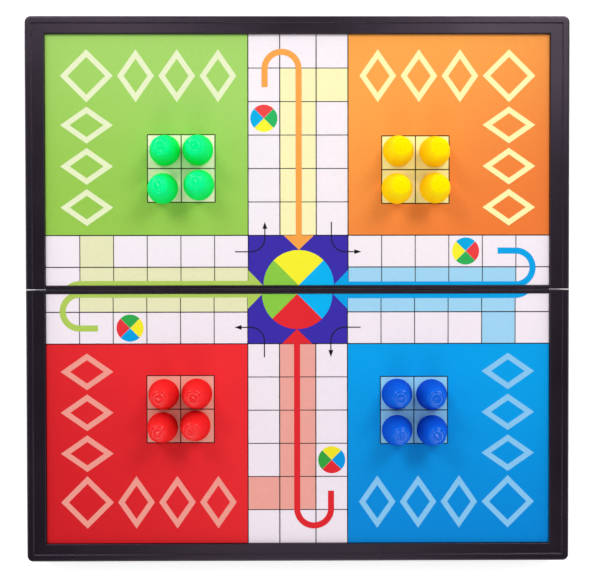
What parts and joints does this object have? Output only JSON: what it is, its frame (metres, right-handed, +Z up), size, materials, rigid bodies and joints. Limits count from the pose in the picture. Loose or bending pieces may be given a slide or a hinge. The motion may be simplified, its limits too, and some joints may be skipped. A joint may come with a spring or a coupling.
{
  "type": "magnetic ludo board",
  "caption": "Folding magnetic ludo board: two hinged black case halves with printed steel-backed playing fields, and cone-shaped magnetic pawns that lift off.",
  "frame": {"origin": "middle of the open board on the table, at the foot of the hinge seam", "axes": "+X right along the hinge, +Y towards the rear half with the green and orange yards, +Z up"},
  "size_m": [0.251, 0.2518, 0.0335],
  "materials": {
    "black_case": "moulded, satin",
    "steel_sheet": "rolled tinplate",
    "printed_sheet": "printed and laminated",
    "hinge_steel": "drawn wire",
    "magnet_ferrite": "sintered, matt",
    "green_pawn": "moulded, glossy",
    "yellow_pawn": "moulded, glossy",
    "red_pawn": "moulded, glossy",
    "blue_pawn": "moulded, glossy"
  },
  "bodies": {
    "rear_half": {"rear_shell": "black_case", "rear_steel_sheet": "steel_sheet", "rear_print_sheet": "printed_sheet", "left_hinge_pin": "hinge_steel", "right_hinge_pin": "hinge_steel"},
    "front_half": {"front_shell": "black_case", "front_steel_sheet": "steel_sheet", "front_print_sheet": "printed_sheet"},
    "green_piece_1": {"green_pawn_1": "green_pawn", "green_magnet_1": "magnet_ferrite"},
    "green_piece_2": {"green_pawn_2": "green_pawn", "green_magnet_2": "magnet_ferrite"},
    "green_piece_3": {"green_pawn_3": "green_pawn", "green_magnet_3": "magnet_ferrite"},
    "green_piece_4": {"green_pawn_4": "green_pawn", "green_magnet_4": "magnet_ferrite"},
    "yellow_piece_1": {"yellow_pawn_1": "yellow_pawn", "yellow_magnet_1": "magnet_ferrite"},
    "yellow_piece_2": {"yellow_pawn_2": "yellow_pawn", "yellow_magnet_2": "magnet_ferrite"},
    "yellow_piece_3": {"yellow_pawn_3": "yellow_pawn", "yellow_magnet_3": "magnet_ferrite"},
    "yellow_piece_4": {"yellow_pawn_4": "yellow_pawn", "yellow_magnet_4": "magnet_ferrite"},
    "red_piece_1": {"red_pawn_1": "red_pawn", "red_magnet_1": "magnet_ferrite"},
    "red_piece_2": {"red_pawn_2": "red_pawn", "red_magnet_2": "magnet_ferrite"},
    "red_piece_3": {"red_pawn_3": "red_pawn", "red_magnet_3": "magnet_ferrite"},
    "red_piece_4": {"red_pawn_4": "red_pawn", "red_magnet_4": "magnet_ferrite"},
    "blue_piece_1": {"blue_pawn_1": "blue_pawn", "blue_magnet_1": "magnet_ferrite"},
    "blue_piece_2": {"blue_pawn_2": "blue_pawn", "blue_magnet_2": "magnet_ferrite"},
    "blue_piece_3": {"blue_pawn_3": "blue_pawn", "blue_magnet_3": "magnet_ferrite"},
    "blue_piece_4": {"blue_pawn_4": "blue_pawn", "blue_magnet_4": "magnet_ferrite"}
  },
  "joints": [
    {"name": "board_fold", "type": "hinge", "parent": "rear_half", "child": "front_half", "pos_m": [0, 0, 0.0026], "axis": [1, 0, 0], "range_deg": [0, 180]},
    {"name": "green_lift_1", "type": "slide", "parent": "rear_half", "child": "green_piece_1", "axis": [0, 0, 1], "range_m": [0, 0.04]},
    {"name": "green_lift_2", "type": "slide", "parent": "rear_half", "child": "green_piece_2", "axis": [0, 0, 1], "range_m": [0, 0.04]},
    {"name": "green_lift_3", "type": "slide", "parent": "rear_half", "child": "green_piece_3", "axis": [0, 0, 1], "range_m": [0, 0.04]},
    {"name": "green_lift_4", "type": "slide", "parent": "rear_half", "child": "green_piece_4", "axis": [0, 0, 1], "range_m": [0, 0.04]},
    {"name": "yellow_lift_1", "type": "slide", "parent": "rear_half", "child": "yellow_piece_1", "axis": [0, 0, 1], "range_m": [0, 0.04]},
    {"name": "yellow_lift_2", "type": "slide", "parent": "rear_half", "child": "yellow_piece_2", "axis": [0, 0, 1], "range_m": [0, 0.04]},
    {"name": "yellow_lift_3", "type": "slide", "parent": "rear_half", "child": "yellow_piece_3", "axis": [0, 0, 1], "range_m": [0, 0.04]},
    {"name": "yellow_lift_4", "type": "slide", "parent": "rear_half", "child": "yellow_piece_4", "axis": [0, 0, 1], "range_m": [0, 0.04]},
    {"name": "red_lift_1", "type": "slide", "parent": "front_half", "child": "red_piece_1", "axis": [0, 0, 1], "range_m": [0, 0.04]},
    {"name": "red_lift_2", "type": "slide", "parent": "front_half", "child": "red_piece_2", "axis": [0, 0, 1], "range_m": [0, 0.04]},
    {"name": "red_lift_3", "type": "slide", "parent": "front_half", "child": "red_piece_3", "axis": [0, 0, 1], "range_m": [0, 0.04]},
    {"name": "red_lift_4", "type": "slide", "parent": "front_half", "child": "red_piece_4", "axis": [0, 0, 1], "range_m": [0, 0.04]},
    {"name": "blue_lift_1", "type": "slide", "parent": "front_half", "child": "blue_piece_1", "axis": [0, 0, 1], "range_m": [0, 0.04]},
    {"name": "blue_lift_2", "type": "slide", "parent": "front_half", "child": "blue_piece_2", "axis": [0, 0, 1], "range_m": [0, 0.04]},
    {"name": "blue_lift_3", "type": "slide", "parent": "front_half", "child": "blue_piece_3", "axis": [0, 0, 1], "range_m": [0, 0.04]},
    {"name": "blue_lift_4", "type": "slide", "parent": "front_half", "child": "blue_piece_4", "axis": [0, 0, 1], "range_m": [0, 0.04]}
  ]
}
